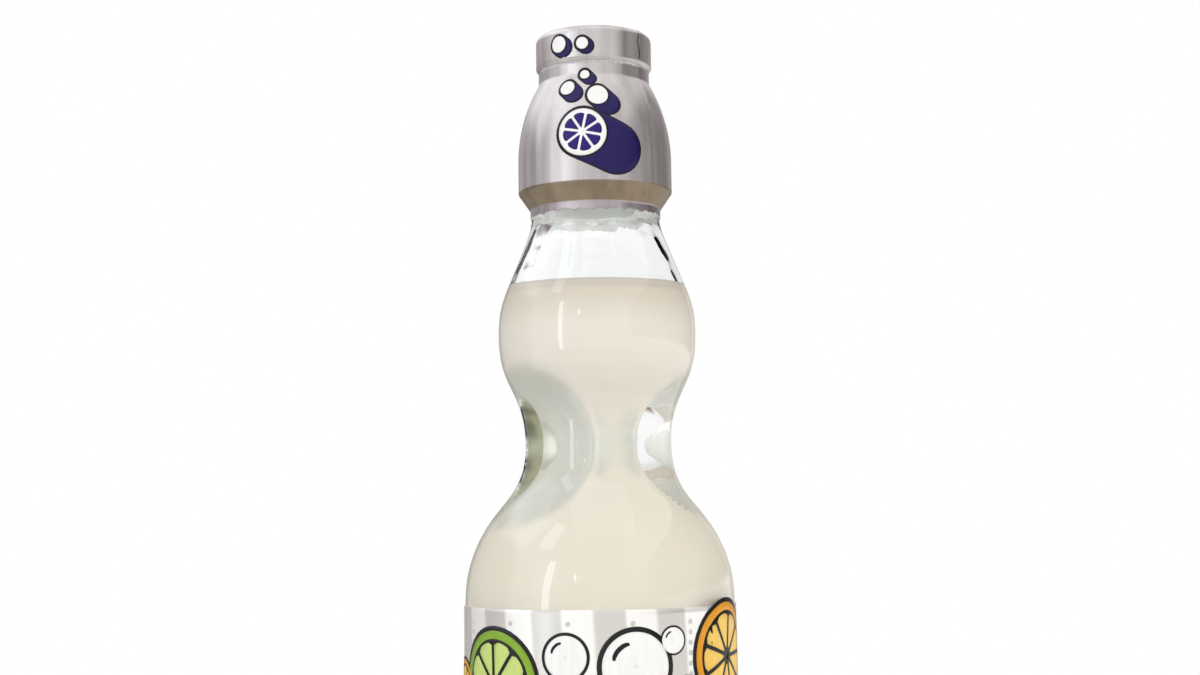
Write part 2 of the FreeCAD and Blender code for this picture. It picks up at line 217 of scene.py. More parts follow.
def blurred(values, passes):
    """Rows of distances softened along both directions, wrapping round the second."""
    for _ in range(passes):
        values = (np.roll(values, 1, 1) + 2 * values + np.roll(values, -1, 1)) / 4
    for _ in range(passes):
        padded = np.concatenate([values[:1], values, values[-1:]])
        values = (padded[:-2] + 2 * padded[1:-1] + padded[2:]) / 4
    return values


# reading shapes from the frame


def tree_of(node):
    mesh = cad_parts[node].data
    corners = [vertex.co for vertex in mesh.vertices]
    return BVHTree.FromPolygons(corners, [face.vertices for face in mesh.polygons])


def directions(angles, elevation):
    level = math.cos(elevation)
    return np.stack(
        [np.cos(angles) * level, np.sin(angles) * level, np.full_like(angles, math.sin(elevation))], axis=-1)


def reach(tree, centre_height, ways, inside):
    """Distances from a point on the axis to the solid's inner face or, from far off, to its outer face."""
    centre = Vector((0, 0, centre_height))
    found = []
    for way in ways:
        way = Vector(way)
        if inside:
            distance = tree.ray_cast(centre, way)[3]
        else:
            distance = FAR - tree.ray_cast(centre + way * FAR, -way)[3]
        found.append(distance)
    return found


def height_field(tree, fan_steps, heights, inside):
    """Rings of points on one face of the glass: a fan of rays for the foot, then level rays upwards."""
    elevations = np.linspace(-math.pi / 2, 0, fan_steps, endpoint=False)[1:]
    rays = [(FAN_HEIGHT, elevation) for elevation in elevations] + [(height, 0.0) for height in heights]
    ways = [directions(GLASS_ANGLES, elevation) for _, elevation in rays]
    distances = np.array([reach(tree, height, way, inside) for (height, _), way in zip(rays, ways)])
    distances = blurred(distances, GLASS_SOFTENING)
    centres = np.array([(0, 0, height) for height, _ in rays])
    return centres[:, None, :] + np.array(ways) * distances[:, :, None]


def profile(node, heights):
    """Outer radius of a turned node at each height, on the +Y side."""
    tree = tree_of(node)
    return np.array([reach(tree, height, [(0, 1, 0)], False)[0] for height in heights])


# building meshes


def new_piece(name, points, faces, material, body):
    mesh = bpy.data.meshes.new(name)
    mesh.from_pydata(points, [], faces)
    mesh.validate()
    mesh.shade_smooth()
    piece = bpy.data.objects.new(name, mesh)
    bpy.context.scene.collection.objects.link(piece)
    mesh.materials.append(material)
    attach(piece, body)
    return piece


def grid_faces(rows, columns, closed, wrapped):
    """Quads of a grid of points; closed joins its last row to the first, wrapped its last column."""
    faces = []
    for row in range(rows if closed else rows - 1):
        low, high = row * columns, (row + 1) % rows * columns
        for column in range(columns if wrapped else columns - 1):
            following = (column + 1) % columns
            faces.append((low + column, low + following, high + following, high + column))
    return faces


def lathe(name, rings, closed, material, body):
    """A mesh through rings; closed joins the last to the first, otherwise each end gets a pole."""
    rows, columns = rings.shape[:2]
    points = rings.reshape(-1, 3).tolist()
    faces = grid_faces(rows, columns, closed, True)
    if not closed:
        first, last = len(points), len(points) + 1
        points += [rings[0].mean(axis=0).tolist(), rings[-1].mean(axis=0).tolist()]
        top = (rows - 1) * columns
        for column in range(columns):
            following = (column + 1) % columns
            faces.append((first, following, column))
            faces.append((last, top + column, top + following))
    return new_piece(name, points, faces, material, body)


def dress_faces(piece, material, chosen):
    """Gives the faces that chosen(face) picks a look of their own."""
    piece.data.materials.append(material)
    number = len(piece.data.materials) - 1
    for face in piece.data.polygons:
        if chosen(face):
            face.material_index = number


# materials


class Graph:
    """A Principled material with short ways to add the nodes that feed it."""

    def __init__(self, name, **settings):
        self.material = bpy.data.materials.new(name)
        self.material.use_nodes = True
        self.nodes = self.material.node_tree.nodes
        self.links = self.material.node_tree.links
        self.shader = self.nodes["Principled BSDF"]
        self.output = self.nodes["Material Output"]
        for label, setting in settings.items():
            self.shader.inputs[label.replace("_", " ")].default_value = setting

    def add(self, kind, inputs=(), **attributes):
        made = self.nodes.new(kind)
        for name, setting in attributes.items():
            setattr(made, name, setting)
        for key, source in dict(inputs).items():
            if isinstance(source, bpy.types.NodeSocket):
                self.links.new(source, made.inputs[key])
            else:
                made.inputs[key].default_value = source
        return made

    def feed(self, label, source):
        self.links.new(source, self.shader.inputs[label])

    def math(self, operation, first, second=0.0):
        return self.add("ShaderNodeMath", {0: first, 1: second}, operation=operation).outputs[0]

    def place(self, scale):
        """Object coordinates stretched by a scale for each axis."""
        spot = self.add("ShaderNodeTexCoord").outputs["Object"]
        return self.add("ShaderNodeMapping", {"Vector": spot, "Scale": scale}).outputs[0]

    def noise(self, scale, detail=3.0, roughness=0.55):
        """Soft noise; scale is its cycles for each metre along each axis."""
        inputs = {"Vector": self.place(scale), "Scale": 1.0, "Detail": detail, "Roughness": roughness}
        return self.add("ShaderNodeTexNoise", inputs).outputs["Fac"]

    def turn_angle(self):
        """Angle about the bottle's axis, in radians."""
        spot = self.add("ShaderNodeTexCoord").outputs["Object"]
        parts = self.add("ShaderNodeSeparateXYZ", {0: spot})
        return self.math("ARCTAN2", parts.outputs[1], parts.outputs[0])

    def height(self):
        spot = self.add("ShaderNodeTexCoord").outputs["Object"]
        return self.add("ShaderNodeSeparateXYZ", {0: spot}).outputs[2]

    def span(self, source, low, high, to_low=0.0, to_high=1.0):
        inputs = {0: source, 1: low, 2: high, 3: to_low, 4: to_high}
        return self.add("ShaderNodeMapRange", inputs, interpolation_type="SMOOTHSTEP").outputs[0]

    def blend(self, share, first, second):
        mixer = self.add("ShaderNodeMix", data_type="RGBA")
        for index, source in ((0, share), (6, first), (7, second)):
            if isinstance(source, bpy.types.NodeSocket):
                self.links.new(source, mixer.inputs[index])
            elif index == 0:
                mixer.inputs[index].default_value = source
            else:
                mixer.inputs[index].default_value = (*source, 1.0)
        return mixer.outputs[2]

    def bump(self, source, strength, distance):
        inputs = {"Height": source, "Strength": strength, "Distance": distance}
        self.feed("Normal", self.add("ShaderNodeBump", inputs).outputs[0])

    def clear(self):
        return self.add("ShaderNodeBsdfTransparent").outputs[0]

    def mixed(self, share, first, second):
        return self.add("ShaderNodeMixShader", {0: share, 1: first, 2: second}).outputs[0]

    def open_to_light(self, surface=None):
        """Lets lamp rays and soft bounces through, so that what stands behind is lit."""
        path = self.add("ShaderNodeLightPath")
        surface = surface or self.shader.outputs[0]
        for ray in ("Is Shadow Ray", "Is Diffuse Ray"):
            surface = self.mixed(path.outputs[ray], surface, self.clear())
        self.links.new(surface, self.output.inputs["Surface"])


def tones(colour, factors):
    return [tuple(min(channel * factor, 1.0) for channel in colour) for factor in factors]


def glass_material(name, bending):
    """Clear glass; bending is its index against what touches it."""
    graph = Graph(name, Roughness=0.0, IOR=bending, Transmission_Weight=1.0)
    tint = graph.noise((60, 60, 14))
    graph.feed("Base Color", graph.blend(tint, *CLEAR_TINTS))
    graph.bump(graph.noise((90, 90, 22), detail=2.0), 0.10, GLASS_BUMP)
    graph.open_to_light()
    return graph.material


def dent_material():
    """The glass of the dents: clear at the edge, dull inwards, a painted olive reflection on the -X side and
    a painted paler, lit tone on the other.
    """
    graph = Graph("dent_glass_painted_reflection", IOR=GLASS_INDEX)
    tint = graph.noise((200, 200, 60))
    olive_reflection = graph.blend(tint, *OLIVE_REFLECTION_TINTS)
    spot = graph.add("ShaderNodeTexCoord").outputs["Object"]
    right = graph.math("GREATER_THAN", graph.add("ShaderNodeSeparateXYZ", {0: spot}).outputs[0])
    # the two sides are the same glass: olive is painted reflection, pale is painted light
    deep = graph.blend(right, olive_reflection, DENT_LIT_PALE)
    depth = graph.add("ShaderNodeAttribute", attribute_name="dent_depth").outputs["Fac"]
    full = graph.span(right, 0.0, 1.0, DENT_RIM[1], DENT_FADE)
    clearness = graph.span(right, 0.0, 1.0, OLIVE_CLEARNESS, PALE_CLEARNESS)
    graph.feed("Base Color", graph.blend(graph.span(depth, DENT_RIM[0], full), DENT_CLEAR, deep))
    graph.feed("Roughness", graph.span(depth, DENT_EDGE, full, 0.0, DENT_ROUGHNESS))
    graph.feed("Transmission Weight", graph.span(depth, DENT_EDGE, full, 1.0, clearness))
    graph.open_to_light()
    return graph.material


def drink_material():
    graph = Graph(
        "cloudy_drink", Roughness=0.25, IOR=DRINK_INDEX, Subsurface_Weight=0.6,
        Subsurface_Scale=DRINK_SCATTER, Subsurface_Radius=SCATTER_TINT)
    cloud = graph.noise((45, 45, 30))
    thin = graph.add("ShaderNodeAttribute", attribute_name="thinness").outputs["Fac"]
    pinch_shade = graph.add("ShaderNodeAttribute", attribute_name="pinch").outputs["Fac"]
    # paler and bluer towards the top
    toned_by_height = graph.blend(graph.span(graph.height(), *UPPER_TONE_SPAN), CREAM, UPPER_CREAM)
    deep = graph.blend(graph.math("MULTIPLY", cloud, CLOUD_SHARE), toned_by_height, CLOUD_CREAM)
    # darker and greyer towards the filling line
    near_top = graph.span(graph.height(), FILL_HEIGHT - LEVEL_BAND, FILL_HEIGHT)
    toned_near_top = graph.blend(near_top, deep, LEVEL_CREAM)
    # painted shade: a thin dark line just under the filling line
    line = graph.span(graph.height(), FILL_HEIGHT - LEVEL_LINE, FILL_HEIGHT)
    body = graph.blend(line, toned_near_top, LEVEL_SHADE_CREAM)
    # greyer where the drink is thin, and painted shade where the waist's bulges press it in
    thin_and_shade = graph.math("MAXIMUM", thin, graph.math("MULTIPLY", pinch_shade, PINCH_SHARE))
    graph.feed("Base Color", graph.blend(thin_and_shade, body, THIN_AND_SHADED_CREAM))
    graph.open_to_light(graph.mixed(thin, graph.shader.outputs[0], graph.clear()))
    return graph.material


def marble_material():
    graph = Graph("marble_glass", Roughness=0.02, IOR=GLASS_INDEX, Transmission_Weight=1.0)
    swirl = graph.noise((160, 160, 160))
    graph.feed("Base Color", graph.blend(swirl, *MARBLE_TINTS))
    graph.open_to_light()
    return graph.material


def rubber_material():
    graph = Graph("seal_rubber", Roughness=0.6)
    grain = graph.noise((900, 900, 900))
    graph.feed("Base Color", graph.blend(grain, *RUBBER_GREYS))
    graph.bump(grain, 0.2, RUBBER_GRAIN)
    return graph.material


def plastic_material(name, colour, roughness):
    graph = Graph(name, IOR=PLASTIC_INDEX)
    flow = graph.noise((120, 120, 40))
    graph.feed("Base Color", graph.blend(flow, *tones(colour, PLASTIC_TONES)))
    grain = graph.noise((1500, 1500, 1500), detail=1.0)
    ends = [roughness + change for change in PLASTIC_ROUGHNESS_SPAN]
    graph.feed("Roughness", graph.span(grain, *PLASTIC_GRAIN_SPAN, *ends))
    graph.bump(grain, 0.12, PLASTIC_GRAIN)
    return graph.material


def film_material(name, colour, open_below):
    """Metallised shrink film with soft upright streaks; an open one lets light into what it covers."""
    graph = Graph(name, Metallic=0.75)
    streaks = graph.noise((420, 420, 16), detail=4.0)
    patches = graph.noise((70, 70, 28), detail=2.0)
    both = graph.math("MULTIPLY", graph.math("ADD", streaks, patches), 0.5)
    share = graph.span(both, *FILM_SPAN)
    graph.feed("Base Color", graph.blend(share, *tones(colour, FILM_TONES)))
    graph.feed("Roughness", graph.span(streaks, *FILM_STREAK_SPAN, *FILM_ROUGHNESS_SPAN))
    graph.bump(both, 0.25, FILM_BUMP)
    if open_below:
        graph.open_to_light()
    return graph.material


def lining_material():
    """The dull white back of the film."""
    graph = Graph("film_lining", Roughness=0.6)
    grain = graph.noise((300, 300, 60))
    graph.feed("Base Color", graph.blend(grain, *LINING_WHITES))
    graph.open_to_light()
    return graph.material


def label_material():
    graph = Graph("label_film", Metallic=0.35, Roughness=0.32)
    slant = graph.math("MULTIPLY", graph.height(), LABEL_SLANT)
    turn = graph.math("SUBTRACT", graph.turn_angle(), FRONT_ANGLE)
    winding = graph.math("ADD", turn, slant)
    wave = graph.math("COSINE", graph.math("MULTIPLY", winding, float(LABEL_STRIPES)))
    share = graph.span(wave, *STRIPE_EDGE_SPAN)
    field = graph.blend(share, *STRIPE_GREYS)
    grain = graph.noise((500, 500, 60))
    speckle = graph.math("MULTIPLY", grain, STRIPE_GRAIN_SHARE)
    graph.feed("Base Color", graph.blend(speckle, field, STRIPE_GRAIN))
    graph.bump(graph.noise((110, 110, 18)), 0.08, LABEL_BUMP)
    graph.open_to_light()
    return graph.material


def ink_material(name, colour):
    graph = Graph(f"ink_{name}", Roughness=0.40, Specular_IOR_Level=0.25)
    grain = graph.noise((800, 800, 120))
    graph.feed("Base Color", graph.blend(grain, *tones(colour, INK_TONES)))
    graph.bump(grain, 0.05, INK_GRAIN)
    return graph.material


# glass and drink


def glass_waves(rings, depth, ripple_share):
    """Moves a face of the glass in and out by the slow unevenness of blown glass, above the label."""
    heights = rings[:, :, 2]
    angles = np.arctan2(rings[:, :, 1], rings[:, :, 0])
    ripples = np.prod([wave_sum([wave], angles, heights) for wave in GLASS_RIPPLES], axis=0)
    waves = wave_sum(GLASS_WAVES, angles, heights) + ripple_share * ripples
    label_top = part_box("body_label")[1].z
    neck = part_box("collar_film")[0].z
    over_label = smooth_step(label_top, label_top + WAVES_OVER_LABEL, heights)
    under_film = smooth_step(neck, neck - WAVES_UNDER_FILM, heights)
    weight = over_label * under_film
    moved = rings.copy()
    moved[:, :, :2] *= (1 + depth * waves * weight / np.hypot(rings[:, :, 0], rings[:, :, 1]))[:, :, None]
    return moved


def pressed_in(rings):
    """How far each point lies inside the widest point of its ring."""
    spread = np.hypot(rings[:, :, 0], rings[:, :, 1])
    return spread.max(axis=1, keepdims=True) - spread


def make_glass_and_drink():
    tree = tree_of("glass_bottle")
    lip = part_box("glass_bottle")[1].z
    heights = np.linspace(FAN_HEIGHT, lip - LIP_CLEARANCE, GLASS_ROWS)
    outer = height_field(tree, OUTER_FAN_STEPS, heights, False)
    inner = height_field(tree, INNER_FAN_STEPS, heights, True)
    outer[:, :, 2] = np.maximum(outer[:, :, 2], 0)
    depth = pressed_in(outer)
    outer = glass_waves(outer, OUTER_WAVE, 0)
    inner = glass_waves(inner, INNER_WAVE, INNER_RIPPLE_SHARE)
    rings = np.concatenate([outer, inner[::-1]])
    dry = glass_material("clear_glass", GLASS_INDEX)
    wet = glass_material("wet_glass", GLASS_INDEX / DRINK_INDEX)
    glass = lathe("glass_bottle_blown", rings, False, dry, "bottle")
    outer_count = outer.shape[0] * outer.shape[1]
    dress_faces(glass, wet, lambda face: min(face.vertices) >= outer_count and face.center.z < FILL_HEIGHT)
    pressed = set(np.flatnonzero(depth.ravel() > DENT_EDGE).tolist())
    dress_faces(glass, dent_material(), lambda face: set(face.vertices) <= pressed)
    depths = np.zeros(len(glass.data.vertices))
    depths[:outer_count] = depth.ravel()
    glass.data.attributes.new("dent_depth", "FLOAT", "POINT").data.foreach_set("value", depths)
    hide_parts("glass_bottle")
    make_drink(inner)


def make_drink(inner):
    """Fills the inner face of the glass up to the filling line, with a meniscus at the wall."""
    brim = FILL_HEIGHT + MENISCUS_CLIMB
    count = np.count_nonzero(inner[:, 0, 2] < brim)
    below, above = inner[count - 1], inner[count]
    share = (brim - below[:, 2:]) / (above[:, 2:] - below[:, 2:])
    wall = np.concatenate([inner[:count], [below + (above - below) * share]])
    spread = np.hypot(wall[:, :, 0], wall[:, :, 1])
    wall[:, :, :2] *= (1 + DRINK_OVERLAP / np.maximum(spread, MM))[:, :, None]
    rim = wall[-1]
    steps = np.linspace(1, 0, SURFACE_STEPS, endpoint=False)[1:]
    surface = []
    for step in steps:
        ring = rim * (step, step, 1)
        gap = np.hypot(*(rim - ring)[:, :2].T)
        ring[:, 2] = FILL_HEIGHT + (rim[:, 2] - FILL_HEIGHT) * np.exp(-gap / MENISCUS_REACH)
        surface.append(ring)
    rings = np.concatenate([wall, np.array(surface)])
    drink = lathe("cloudy_drink", rings, False, drink_material(), "bottle")
    mark_thinness(drink, rings.shape[:2])


def cone_ways(normal):
    """The way straight into a surface and a ring of slanting ways round it."""
    side = normal.orthogonal().normalized()
    slanted = side * math.sin(CONE_SLANT) - normal * math.cos(CONE_SLANT)
    turns = [Matrix.Rotation(2 * math.pi * number / CONE_RAYS, 3, normal) for number in range(CONE_RAYS)]
    return [-normal] + [turn @ slanted for turn in turns]


def mark_thinness(drink, shape):
    """Keeps on each point how thin the drink is behind it and how far the waist's bulges press it in."""
    mesh = drink.data
    walls = [face.vertices for face in mesh.polygons if face.center.z < FILL_HEIGHT]
    tree = BVHTree.FromPolygons([vertex.co for vertex in mesh.vertices], walls)
    depths = []
    for vertex in mesh.vertices:
        begin = vertex.co - vertex.normal * CONE_START
        hits = [tree.ray_cast(begin, way)[3] for way in cone_ways(vertex.normal)]
        depths.append(min(FAR if hit is None else hit for hit in hits))
    poles = depths[-2:]
    softened = blurred(np.array(depths[:-2]).reshape(shape), GLASS_SOFTENING)
    thinness = np.exp(-(np.concatenate([softened.ravel(), poles]) / THIN_DRINK) ** 2)
    points = np.array([vertex.co for vertex in mesh.vertices[:-2]]).reshape(*shape, 3)
    pinch = smooth_step(PINCH_START, PINCH_FULL, pressed_in(points))
    for name, values in (("thinness", thinness), ("pinch", np.append(pinch.ravel(), [0, 0]))):
        mesh.attributes.new(name, "FLOAT", "POINT").data.foreach_set("value", values)


# shrink films


def film_swell(angles, heights, strength):
    """How far a shrink film stands off what it covers: slow pleats and a lapped seam."""
    pleats = (wave_sum(PLEAT_WAVES, angles, heights) + PLEAT_REST) / (2 * PLEAT_REST)
    lap = np.mod(angles - SEAM_ANGLE, 2 * math.pi)
    seam = SEAM_STEP * (1 - smooth_step(*SEAM_LAP, lap)) * smooth_step(0, SEAM_RISE, lap)
    return strength * pleats + seam


class Film:
    """A shrink film over a turned CAD node, as a radius for each angle and height."""

    def __init__(self, node, strength):
        low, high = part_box(node)
        self.low = low.z + FILM_EDGE
        self.high = high.z - FILM_EDGE
        self.strength = strength
        self.heights = np.linspace(self.low, self.high, PROFILE_STEPS)
        self.radii = profile(node, self.heights)

    def radius(self, angles, heights):
        return np.interp(heights, self.heights, self.radii) + film_swell(angles, heights, self.strength)

    def points(self, angles, heights, lift):
        radii = self.radius(angles, heights) + lift
        return np.stack([radii * np.cos(angles), radii * np.sin(angles), heights], axis=-1)


def make_collar_film(material, lining):
    """The lower film: a ragged tail on the neck, a slanted underside, the barrel and the perforated top."""
    film = Film("collar_film", COLLAR_PLEAT)
    rows = np.linspace(0, 1, COLLAR_ROWS)
    angles = np.tile(FILM_ANGLES, (len(rows), 1))
    ragged = TAIL_RAGGED * wave_sum(RAGGED_WAVES, FILM_ANGLES, 0) / len(RAGGED_WAVES)
    teeth = TOOTH * np.sign(np.sin(TOOTH_TURNS * FILM_ANGLES))
    level = film.low + rows[:, None] * (film.high - film.low)
    near_tail = 1 - smooth_step(film.low, film.low + TAIL_HEIGHT, level)
    near_cut = smooth_step(film.high - CUT_FADE, film.high, level)
    heights = level + near_tail * (TAIL_LIFT + ragged) + near_cut * (teeth - CUT_DROP)
    outer = film.points(angles, heights, 0)
    inner = film.points(angles, heights, -FILM_GAUGE)
    rings = np.concatenate([outer, inner[::-1]])
    piece = lathe("collar_film_shrunk", rings, True, material, "bottle")
    outer_count = outer.shape[0] * outer.shape[1]
    fold = film.heights[np.argmax(film.radii > film.radii.max() - FOLD_MARGIN)]
    neck = film.low + TAIL_HEIGHT
    # painted shade and reflection: the slanted underside is a darker tan copy of the silver film
    underside = film_material("film_underside_painted_shade", SHADED_TAN_SILVER, True)
    # painted shade: the tail on the neck is a darker lilac copy of the silver film
    tail = film_material("film_tail", SHADED_LILAC_SILVER, True)
    dress_faces(piece, underside, lambda face: neck < face.center.z < fold)
    dress_faces(piece, tail, lambda face: face.center.z < neck)
    dress_faces(piece, lining, lambda face: min(face.vertices) >= outer_count)
    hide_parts("collar_film")
    return film


def make_seal_film(material, lining):
    """The film over the ring: up the side, over the rounded edge and in across the top to its hem."""
    low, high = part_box("seal_film")
    tree = tree_of("seal_film")
    centre = (low.z + high.z) / 2
    hem = math.atan2(high.z - centre, hem_radius(tree, high.z))
    foot_height = low.z + FOOT_MARGIN
    foot = -math.atan2(centre - foot_height, profile("seal_film", [foot_height])[0])
    elevations = np.linspace(foot, hem, SEAL_ROWS)
    rings = []
    for elevation in elevations:
        ways = directions(FILM_ANGLES, elevation)
        distance = reach(tree, centre, [directions(np.array([math.pi / 2]), elevation)[0]], False)[0]
        ring = np.array([0, 0, centre]) + ways * distance
        swell = film_swell(FILM_ANGLES, ring[:, 2], SEAL_PLEAT)
        rings.append((ring, ways * swell[:, None], ways * (swell - FILM_GAUGE)[:, None]))
    outer = np.array([ring + out for ring, out, _ in rings])
    inner = np.array([ring + back for ring, _, back in rings])
    joined = np.concatenate([outer, inner[::-1]])
    piece = lathe("seal_film_shrunk", joined, True, material, "seal")
    outer_count = outer.shape[0] * outer.shape[1]
    dress_faces(piece, lining, lambda face: min(face.vertices) >= outer_count)
    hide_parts("seal_film")
    return Film("seal_film", SEAL_PLEAT)


def hem_radius(tree, top):
    """Radius of the hole in the film's top, found by rays from above."""
    radius = 0.0
    while tree.ray_cast(Vector((radius, 0, top + FAR)), Vector((0, 0, -1)), 2 * FAR)[0] is None:
        radius += HEM_STEP
    return radius


# prints


INK_LIFT = 0.03 * MM
INK_STEP = 0.03 * MM
INK_GAUGE = 0.02 * MM
PRINT_EDGE = 0.30 * MM
DISC_GRID = (9, 44)
TRAIL_GRID = (9, 60)
SLICE_GRID = (6, 6)
GLINT_GRID = (3, 8)
CREASE_GRID = (12, 3)
DOT_GRID = (2, 10)
PIN_SHARE = 0.01
WEDGE_ROUND_SHARE = 0.07
CORE_SHARE = 0.2
RIND_SHARE = 0.92
RING_SHARE = 0.78
FLESH_SHARE = 0.73
FLESH_SLICES = 9
FLESH_GAP_SHARE = 0.035
BUBBLE_SHARE = 0.87
GLINT_SHARES = (0.56, 0.68)
GLINT_TURN = 0.75 * math.pi
GLINT_HALF = 0.5
CREASE_WIDTH = 0.16 * MM
CREASE_HEIGHT_SHARE = 0.42
CREASE_TAPER_SHARE = 0.8
CREASE_WANDER = 7
DOT_RADIUS = 0.55 * MM
DOT_PITCH = 2.1 * MM
DOT_LOW = 1.5 * MM
DOT_HIGH = 1.0 * MM
WHEEL_SHIFT = (7.2 * MM, -3.5 * MM)
WHEEL_RIND_SHARE = 0.93
WHEEL_FLESH_SHARE = 0.76
WHEEL_SLICES = 8
WHEEL_GAP_SHARE = 0.05
WHEEL_TILT = 0.2
COLLAR_SHIFT_SHARES = (0.8, -0.8)
SEAL_SHIFT_SHARES = (0.5, -0.4)

# places of prints: turn from the front in degrees, height and radius in millimetres
COLLAR_WHEEL = (-9, 181.4, 5.6)
COLLAR_BUBBLES = ((3, 189.8, 2.5), (-24, 191.8, 1.9), (-9, 194.8, 1.3))
SEAL_BUBBLES = ((-36, 202.0, 2.1), (-11, 201.7, 1.6))
LIME_WHEELS = (
    (-48, 66, 12), (36, 58, 10), (74, 30, 11), (-12, 28, 12),
    (-98, 38, 11), (150, 60, 12), (-150, 30, 10), (112, 66, 8))
AMBER_WHEELS = (
    (63, 71, 12), (-78, 64, 7), (22, 36, 8), (-52, 30, 9),
    (108, 44, 12), (-124, 58, 11), (178, 34, 11), (140, 24, 7))
LABEL_BUBBLES = (
    (14, 70, 8), (-14, 72, 5), (-4, 56, 9), (30, 75, 3), (-26, 52, 5), (48, 44, 5), (-72, 46, 6),
    (94, 58, 5), (128, 74, 5), (-148, 70, 7), (-172, 56, 6), (-100, 72, 4), (158, 42, 4), (-128, 36, 5),
    (4, 44, 3), (56, 22, 5), (-32, 18, 4), (88, 18, 3), (-118, 20, 5), (168, 18, 4))


def place_of(row):
    """The spot and the radius of a print."""
    turn, height, radius = row
    return (math.radians(turn), height * MM), radius * MM


def disc(radius):
    def shape(along, across):
        away = radius * (PIN_SHARE + (1 - PIN_SHARE) * along)
        angle = -2 * math.pi * across
        return away * np.cos(angle), away * np.sin(angle)
    return shape


def wedge(low, high, middle, half, gap):
    """A slice of a wheel between two radii, set back from its neighbours by a gap."""
    def shape(along, across):
        side = 1 - 2 * across
        away = (low + (high - low) * along) * (1 - WEDGE_ROUND_SHARE * along * side ** 4)
        angle = middle + side * (half - np.arcsin(np.minimum(gap / away, 1)))
        return away * np.cos(angle), away * np.sin(angle)
    return shape


def trail(radius, shift):
    """What a disc sweeps as it moves by shift."""
    heading = math.atan2(shift[1], shift[0])

    def shape(along, across):
        corners = np.linspace(0, 1, 5)
        turn = np.interp(across, corners, [0, 1, 1, 2, 2])
        slide = np.interp(across, corners, [1, 1, 0, 0, 1]) - 0.5
        angle = heading + math.pi / 2 - math.pi * turn
        out = PIN_SHARE + (1 - PIN_SHARE) * along
        right = shift[0] / 2 + out * (slide * shift[0] + radius * np.cos(angle))
        up = shift[1] / 2 + out * (slide * shift[1] + radius * np.sin(angle))
        return right, up
    return shape


def crease(half_width, half_height):
    """A thin upright line that wanders a little and thins out at its ends."""
    def shape(along, across):
        up = half_height * (2 * along - 1)
        wide = half_width * (1 - CREASE_TAPER_SHARE * (2 * along - 1) ** 4)
        return wide * (2 * across - 1) + half_width * np.sin(CREASE_WANDER * along), up
    return shape


class Ink:
    """Patches of one colour and layer on a film, gathered into one thin piece."""

    def __init__(self, film, layer):
        self.film = film
        self.lift = INK_LIFT + layer * INK_STEP
        self.points = []
        self.faces = []

    def lay(self, spot, shape, grid, wrapped=True):
        """Lays a patch at spot, a turn from the front and a height; shape gives metres across and up."""
        turn, height = spot
        rows, columns = grid
        along, across = np.meshgrid(
            np.linspace(0, 1, rows), np.linspace(0, 1, columns, endpoint=not wrapped), indexing="ij")
        right, up = shape(along, across)
        angle = FRONT_ANGLE + turn
        angles = angle + right / self.film.radius(angle, height)
        first = len(self.points)
        self.points += self.film.points(angles, height + up, self.lift).reshape(-1, 3).tolist()
        faces = grid_faces(rows, columns, False, wrapped)
        self.faces += [tuple(first + corner for corner in face) for face in faces]

    def finish(self, name, material, body, slot):
        piece = new_piece(name, self.points, self.faces, material, body)
        gauge = piece.modifiers.new("gauge", "SOLIDIFY")
        gauge.thickness = INK_GAUGE


def lay_disc(ink, spot, radius):
    ink.lay(spot, disc(radius), DISC_GRID)


def lay_slices(ink, spot, radius, count, gap, tilt):
    for number in range(count):
        middle = tilt + 2 * math.pi * number / count
        ink.lay(spot, wedge(CORE_SHARE * radius, radius, middle, math.pi / count, gap), SLICE_GRID, False)


def lay_citrus(outline, flesh, spot, radius):
    """A citrus wheel: dark outline, coloured rind, dark ring and coloured slices."""
    lay_disc(outline[0], spot, radius)
    lay_disc(flesh[0], spot, RIND_SHARE * radius)
    lay_disc(outline[1], spot, RING_SHARE * radius)
    lay_slices(flesh[1], spot, FLESH_SHARE * radius, FLESH_SLICES, FLESH_GAP_SHARE * radius, spot[0])


def lay_bubble(outline, white, spot, radius):
    lay_disc(outline[0], spot, radius)
    lay_disc(white, spot, BUBBLE_SHARE * radius)
    low, high = (share * radius for share in GLINT_SHARES)
    outline[1].lay(spot, wedge(low, high, GLINT_TURN, GLINT_HALF, 0), GLINT_GRID, False)


def lay_shadow(black, dark, spot, radius, shift):
    """A dark drop shadow with a black edge."""
    black.lay(spot, trail(radius + PRINT_EDGE, shift), TRAIL_GRID)
    dark.lay(spot, trail(radius, shift), TRAIL_GRID)


def lay_shaded_bubbles(black, dark, rim, white, places, shift_shares):
    for spot, radius in map(place_of, places):
        lay_shadow(black, dark, spot, radius, [share * radius for share in shift_shares])
        lay_disc(rim, spot, radius)
        lay_disc(white, spot, radius - PRINT_EDGE)


def print_collar(film):
    """A citrus wheel with a long drop shadow and a few bubbles over it."""
    black, dark, rim, white, detail = (Ink(film, layer) for layer in range(5))
    spot, radius = place_of(COLLAR_WHEEL)
    lay_shadow(black, dark, spot, radius, WHEEL_SHIFT)
    lay_disc(rim, spot, radius)
    lay_disc(white, spot, WHEEL_RIND_SHARE * radius)
    gap = WHEEL_GAP_SHARE * radius
    lay_slices(detail, spot, WHEEL_FLESH_SHARE * radius, WHEEL_SLICES, gap, WHEEL_TILT)
    lay_shaded_bubbles(black, dark, rim, white, COLLAR_BUBBLES, COLLAR_SHIFT_SHARES)
    black.finish("collar_print_edge", ink_material("edge", INK_BLACK), "bottle", "silver_film")
    dark.finish("collar_print_dark", ink_material("indigo", INDIGO), "bottle", "silver_film")
    rim.finish("collar_print_rim", ink_material("rim", INK_BLACK), "bottle", "silver_film")
    white.finish("collar_print_white", ink_material("pearl", INK_WHITE), "bottle", "silver_film")
    detail.finish("collar_print_slices", ink_material("violet", VIOLET), "bottle", "silver_film")


